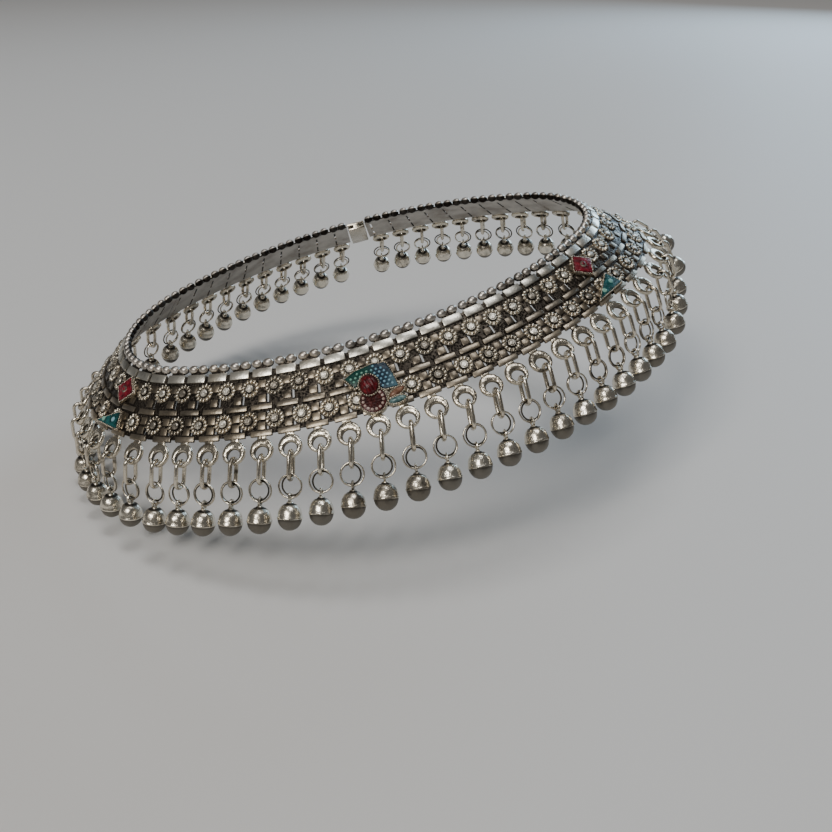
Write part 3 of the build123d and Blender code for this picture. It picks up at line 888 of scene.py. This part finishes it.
def mainSetting(name, column):
    # silver plates and beaded rims under the enamel
    bm = bmesh.new()
    for outline in (station["fan"], discOutline, orangeOutline, tealOutline):
        rimmedPlate(bm, outline)
    plate(bm, grown(cabochonOutline, station["seatMargin"]), station["plateTop"] - 0.1, station["seatTop"])
    beads(bm, grown(cabochonOutline, station["seatBeadMargin"]), station["seatBeadHeight"],
          station["seatBead"], station["seatBeadSpacing"])
    placed("setting_" + name, bm, column, ["setting"], "band", 50)


def ringOfSpots(radius, count, offset=0.0):
    # evenly round the disc's middle, turned by a share of one step
    x, y = station["disc"]
    angles = [2 * math.pi * (step + offset) / count for step in range(count)]
    return [(x + radius * math.cos(angle), y + radius * math.sin(angle)) for angle in angles]


def mainEnamel(name, column):
    base, top = station["enamelBase"], station["enamelTop"]
    clearing = grown(cabochonOutline, station["clearing"])
    bm = bmesh.new()
    plate(bm, station["fan"], base, top)
    across, down = station["fanDotSpacing"]
    spots = [((x + (y % 2) / 2) * across, y * down) for x in range(-6, 8) for y in range(-14, -4)]
    field = grown(station["fan"], -station["fanDotInset"])
    for spot in spots:
        if inside(spot, field) and not inside(spot, clearing):
            ball(bm, station["fanDot"], (*spot, top), 0.7, 10, 6, 1)
    placed("fanEnamel_" + name, bm, column, ["fan", "dots"], "fan_" + name)
    bm = bmesh.new()
    plate(bm, discOutline, base, top - 0.05)
    for spot in ringOfSpots(station["pearlRing"], station["pearls"], 0.5):
        if not inside(spot, clearing):
            ball(bm, station["pearl"], (*spot, top), 0.8, 10, 6, 1)
    for radius, count in station["grainRings"]:
        for spot in ringOfSpots(radius, count):
            if not inside(spot, clearing):
                ball(bm, station["grain"], (*spot, top - 0.03), 0.8, 8, 5)
    placed("discEnamel_" + name, bm, column, ["disc", "pearl"], "red_disc_" + name)
    bm = bmesh.new()
    dome(bm, *station["cabochonSize"], station["seatTop"] + 0.1, station["cabochonRise"], station["cabochon"])
    placed("cabochonEnamel_" + name, bm, column, ["cabochon"], "red_cabochon_" + name)
    bm = bmesh.new()
    dome(bm, *station["leafSize"], base, station["leafRise"], station["orangeLeaf"], station["orangeTurn"])
    placed("orangeEnamel_" + name, bm, column, ["orange"], "orange_leaf_" + name)
    bm = bmesh.new()
    dome(bm, *station["leafSize"], base, station["leafRise"], station["tealLeaf"], station["tealTurn"])
    placed("tealEnamel_" + name, bm, column, ["paleTeal"], "teal_leaf_" + name)


def sideStation(name, column):
    base, top = station["enamelBase"], station["enamelTop"]
    bm = bmesh.new()
    for outline in (station["rhombus"], station["petal"]):
        rimmedPlate(bm, outline)
    frustum(bm, *station["boss"], top - 0.05, top + 0.2, 20, station["bossMiddle"])
    placed("setting_" + name, bm, column, ["setting"], "band")
    bm = bmesh.new()
    plate(bm, station["rhombus"], base, top)
    ball(bm, station["bossBall"], (*station["bossMiddle"], top + 0.15), 0.6, 16, 8)
    placed("rhombusEnamel_" + name, bm, column, ["crimson"], "crimson_rhombus_" + name)
    bm = bmesh.new()
    plate(bm, station["petal"], base, top)
    for spot in station["petalSpots"]:
        ball(bm, station["petalSpot"], (*spot, top), 0.5, 14, 8, 1)
    placed("petalEnamel_" + name, bm, column, ["teal", "dots"], "teal_petal_" + name)


for name, column in mainStations.items():
    mainSetting(name, column)
    mainEnamel(name, column)
for name, column in sideStations.items():
    sideStation(name, column)
print("stations made")


# the clasp keeps its solid's form, with its sharp edges broken
clasp = {"edge": 0.1}


def makeClasp():
    bm = bmesh.new()
    bm.from_mesh(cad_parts["clasp"].data)
    bmesh.ops.remove_doubles(bm, verts=bm.verts, dist=0.01 * mm)
    bmesh.ops.dissolve_limit(bm, angle_limit=math.radians(1), verts=bm.verts, edges=bm.edges)
    bmesh.ops.bevel(bm, geom=bm.edges[:], offset=clasp["edge"] * mm, segments=2, profile=0.5, affect="EDGES",
                    material=-1)
    bm.verts.layers.float.new("tone")
    for face in bm.faces:
        face.material_index = 0
    finished("boxClasp", bm, ["setting"], ["clasp"], 40)


makeClasp()
print("clasp made")

# pale floor, soft lights and the camera
studio = {
    "world": (0.66, 0.65, 0.64, 1), "worldStrength": 0.15,
    "floor": (0.75, 0.735, 0.715, 1), "floorRoughness": 0.6, "floorSize": 3, "floorDrop": 1.0,
}
lights = {
    "keyLight": {"place": (-1.02, -1.02, 1.42), "aim": (0, 0, 0), "size": (0.68, 0.68), "power": 20.0,
                 "colour": (1.0, 0.97, 0.92)},
    "topLight": {"place": (0.18, 0.18, 2.04), "aim": (0, 0, 0), "size": (0.96, 0.52), "power": 11.0,
                 "colour": (1.0, 1.0, 1.0)},
    "coolLight": {"place": (0.80, 0.70, 0.34), "aim": (0.05, 0, 0), "size": (0.55, 0.36), "power": 4.2,
                  "colour": (0.56, 0.78, 1.0)},
}


def makeFloor():
    bm = bmesh.new()
    bmesh.ops.create_grid(bm, x_segments=1, y_segments=1, size=studio["floorSize"])
    bmesh.ops.translate(bm, vec=(0, 0, cadBox[0][2] - studio["floorDrop"] * mm), verts=bm.verts)
    mesh = bpy.data.meshes.new("floor")
    bm.to_mesh(mesh)
    bm.free()
    made = Finish("paleFloor")
    made.settle(colour=studio["floor"], roughness=studio["floorRoughness"])
    mesh.materials.append(made.material)
    floor = bpy.data.objects.new("floor", mesh)
    bpy.context.scene.collection.objects.link(floor)


def softLight(name, place, aim, size, power, colour):
    light = bpy.data.lights.new(name, "AREA")
    light.shape = "RECTANGLE"
    light.size, light.size_y = size
    light.energy = power
    light.color = colour
    lamp = bpy.data.objects.new(name, light)
    lamp.location = place
    lamp.rotation_euler = (Vector(aim) - Vector(place)).to_track_quat("-Z", "Y").to_euler()
    bpy.context.scene.collection.objects.link(lamp)


def makeWorld():
    world = bpy.data.worlds.new("softStudio")
    world.use_nodes = True
    backdrop = world.node_tree.nodes["Background"]
    backdrop.inputs["Color"].default_value = studio["world"]
    backdrop.inputs["Strength"].default_value = studio["worldStrength"]
    bpy.context.scene.world = world


makeFloor()
makeWorld()
for name, settings in lights.items():
    softLight(name, **settings)

view = {"distance": 187.1, "elevation": 20.5, "azimuth": -8.4, "turn": -12.2, "down": 27.9,
        "lens": 38.94, "shift": -0.026}


def makeCamera():
    data = bpy.data.cameras.new("camera")
    data.lens = view["lens"]
    data.shift_y = view["shift"]
    data.clip_start = 0.01
    camera = bpy.data.objects.new("camera", data)
    rise, swing = math.radians(view["elevation"]), math.radians(view["azimuth"])
    camera.location = Vector((math.sin(swing) * math.cos(rise), -math.cos(swing) * math.cos(rise),
                              math.sin(rise))) * view["distance"] * mm
    camera.rotation_euler = (math.pi / 2 - math.radians(view["down"]), 0, math.radians(view["turn"]))
    bpy.context.scene.collection.objects.link(camera)
    bpy.context.scene.camera = camera


makeCamera()
print("studio made")
